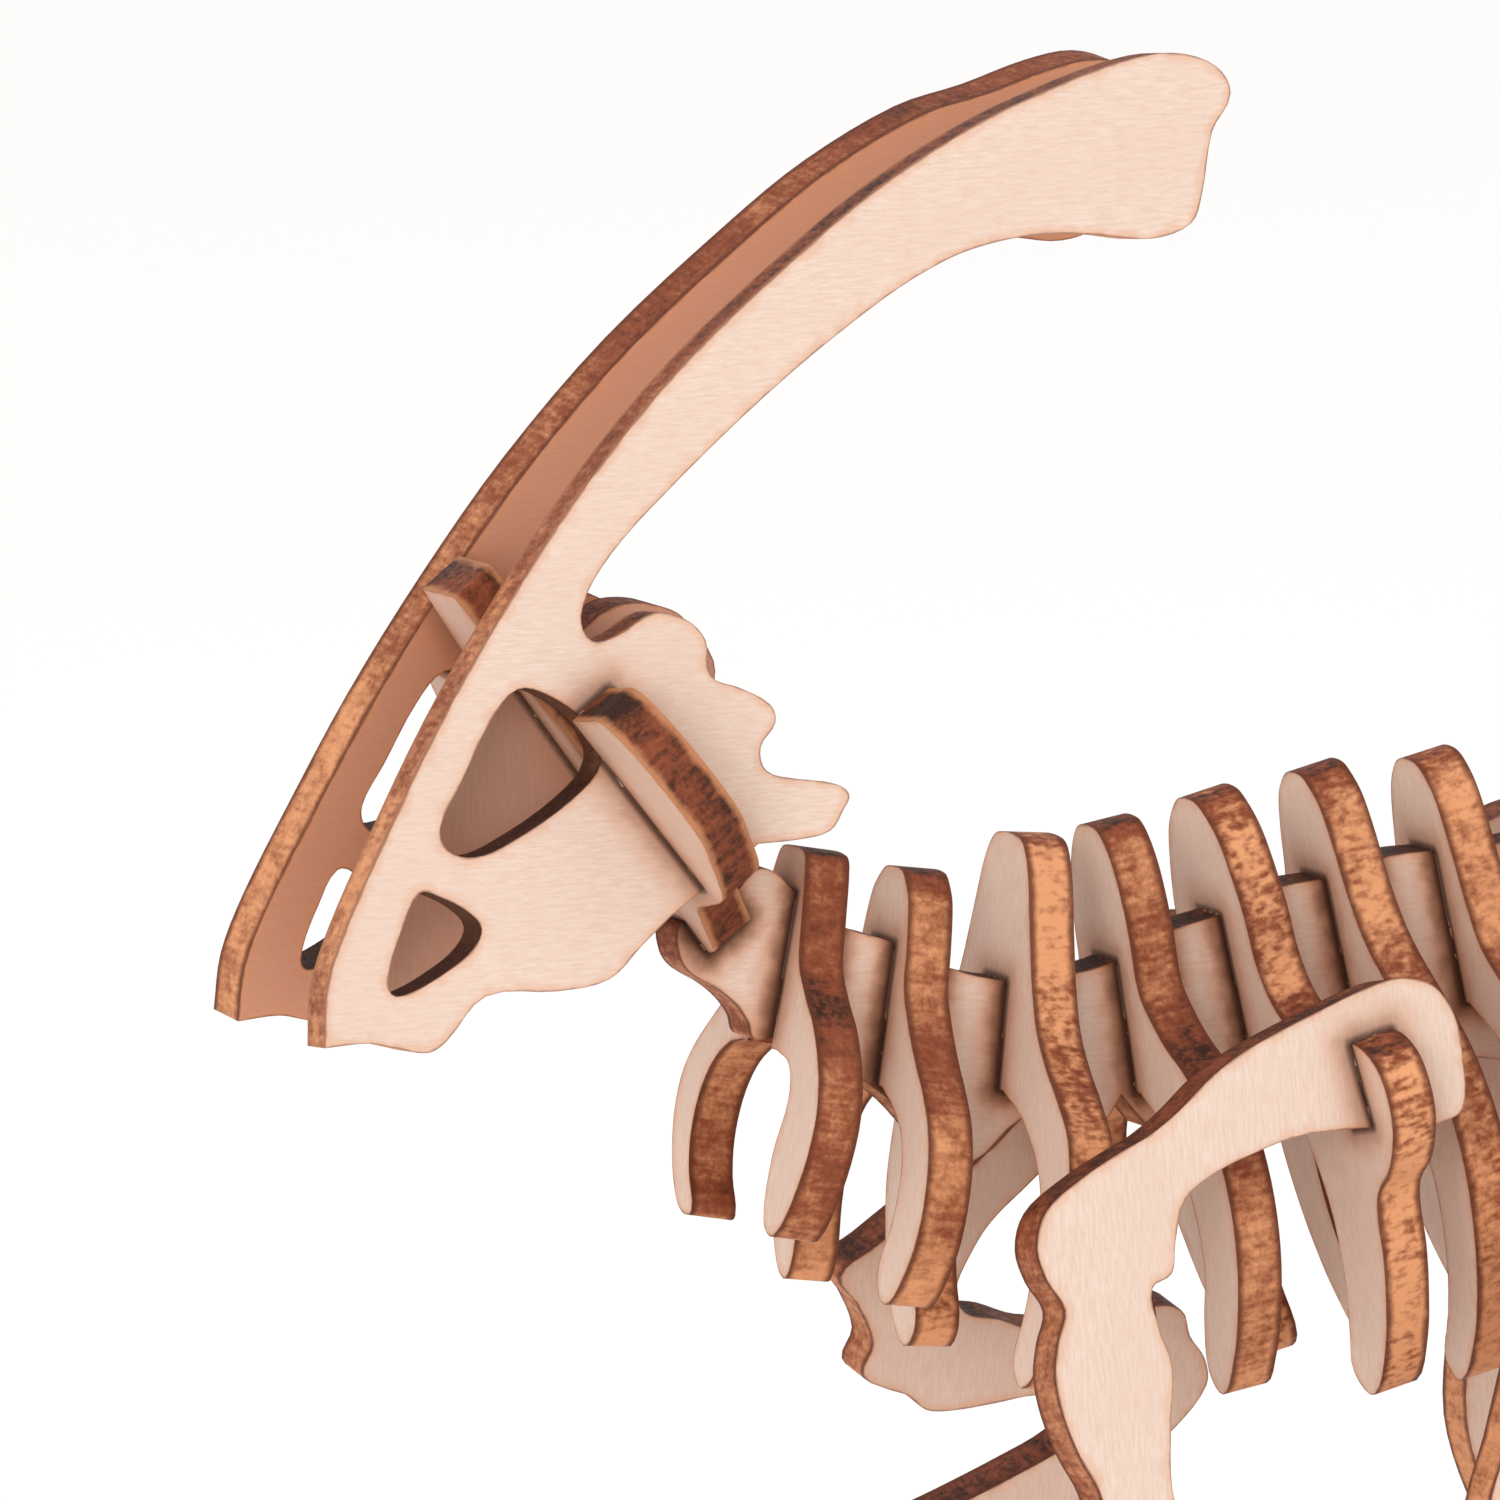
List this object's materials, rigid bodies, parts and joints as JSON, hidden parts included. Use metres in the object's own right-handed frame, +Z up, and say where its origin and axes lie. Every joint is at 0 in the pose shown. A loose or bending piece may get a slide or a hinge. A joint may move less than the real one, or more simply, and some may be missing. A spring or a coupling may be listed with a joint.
{
  "type": "wooden dinosaur skeleton puzzle",
  "caption": "Crested dinosaur skeleton model slotted together from flat laser-cut plywood plates, standing on its hind legs and one hand.",
  "frame": {"origin": "on the table, in the middle plane of the body, below the middle of its length", "axes": "+Z up, -X toward the head, +X toward the tail, +Y toward the side away from the standing hand"},
  "size_m": [0.1952, 0.0532, 0.1213],
  "materials": {
    "plywood": "bare laser-cut birch plywood, matt, with scorched brown edges"
  },
  "bodies": {
    "hind_legs": {"hind_leg_left": "plywood", "hind_leg_right": "plywood"},
    "pelvis": {"pelvis_plate": "plywood"},
    "spine": {"spine_plate": "plywood"},
    "skull": {"skull_side_left": "plywood", "skull_side_right": "plywood", "skull_core": "plywood", "cheek_plate": "plywood"},
    "rib_1": {"rib_1": "plywood"},
    "rib_2": {"rib_2": "plywood"},
    "rib_3": {"rib_3": "plywood"},
    "rib_4": {"rib_4": "plywood"},
    "shoulder_rib": {"shoulder_rib": "plywood"},
    "rib_6": {"rib_6": "plywood"},
    "rib_7": {"rib_7": "plywood"},
    "rib_8": {"rib_8": "plywood"},
    "foreleg_left": {"foreleg_left": "plywood"},
    "foreleg_right": {"foreleg_right": "plywood"},
    "tail_rib_1": {"tail_rib_1": "plywood"},
    "tail_rib_2": {"tail_rib_2": "plywood"},
    "tail_rib_3": {"tail_rib_3": "plywood"},
    "tail_rib_4": {"tail_rib_4": "plywood"},
    "tail_rib_5": {"tail_rib_5": "plywood"},
    "tail_rib_6": {"tail_rib_6": "plywood"},
    "tail_rib_7": {"tail_rib_7": "plywood"}
  },
  "joints": [
    {"name": "pelvis_lift", "type": "slide", "parent": "hind_legs", "child": "pelvis", "axis": [0, 0, 1], "range_m": [0, 0.013]},
    {"name": "spine_lift", "type": "slide", "parent": "pelvis", "child": "spine", "axis": [0, 0, 1], "range_m": [0, 0.016]},
    {"name": "skull_lift", "type": "slide", "parent": "spine", "child": "skull", "axis": [-0.6018, 0, 0.7986], "range_m": [0, 0.008]},
    {"name": "rib_1_lift", "type": "slide", "parent": "spine", "child": "rib_1", "axis": [0.1908, 0, 0.9816], "range_m": [0, 0.008]},
    {"name": "rib_2_lift", "type": "slide", "parent": "spine", "child": "rib_2", "axis": [0.1478, 0, 0.989], "range_m": [0, 0.008]},
    {"name": "rib_3_lift", "type": "slide", "parent": "spine", "child": "rib_3", "axis": [0.0958, 0, 0.9954], "range_m": [0, 0.007]},
    {"name": "rib_4_lift", "type": "slide", "parent": "spine", "child": "rib_4", "axis": [-0.1564, 0, 0.9877], "range_m": [0, 0.009]},
    {"name": "shoulder_rib_lift", "type": "slide", "parent": "spine", "child": "shoulder_rib", "axis": [-0.225, 0, 0.9744], "range_m": [0, 0.009]},
    {"name": "rib_6_lift", "type": "slide", "parent": "spine", "child": "rib_6", "axis": [-0.225, 0, 0.9744], "range_m": [0, 0.009]},
    {"name": "rib_7_lift", "type": "slide", "parent": "spine", "child": "rib_7", "axis": [-0.2164, 0, 0.9763], "range_m": [0, 0.009]},
    {"name": "rib_8_lift", "type": "slide", "parent": "spine", "child": "rib_8", "axis": [-0.2164, 0, 0.9763], "range_m": [0, 0.009]},
    {"name": "foreleg_left_lift", "type": "slide", "parent": "shoulder_rib", "child": "foreleg_left", "axis": [-0.221, 0.1861, 0.9574], "range_m": [0, 0.006]},
    {"name": "foreleg_right_lift", "type": "slide", "parent": "shoulder_rib", "child": "foreleg_right", "axis": [-0.221, -0.1861, 0.9574], "range_m": [0, 0.006]},
    {"name": "tail_rib_1_lift", "type": "slide", "parent": "spine", "child": "tail_rib_1", "axis": [-0.2164, 0, 0.9763], "range_m": [0, 0.011]},
    {"name": "tail_rib_2_lift", "type": "slide", "parent": "spine", "child": "tail_rib_2", "axis": [-0.2164, 0, 0.9763], "range_m": [0, 0.01]},
    {"name": "tail_rib_3_lift", "type": "slide", "parent": "spine", "child": "tail_rib_3", "axis": [-0.2164, 0, 0.9763], "range_m": [0, 0.009]},
    {"name": "tail_rib_4_lift", "type": "slide", "parent": "spine", "child": "tail_rib_4", "axis": [-0.2164, 0, 0.9763], "range_m": [0, 0.008]},
    {"name": "tail_rib_5_lift", "type": "slide", "parent": "spine", "child": "tail_rib_5", "axis": [-0.2164, 0, 0.9763], "range_m": [0, 0.007]},
    {"name": "tail_rib_6_lift", "type": "slide", "parent": "spine", "child": "tail_rib_6", "axis": [-0.2164, 0, 0.9763], "range_m": [0, 0.006]},
    {"name": "tail_rib_7_lift", "type": "slide", "parent": "spine", "child": "tail_rib_7", "axis": [-0.2164, 0, 0.9763], "range_m": [0, 0.005]}
  ]
}
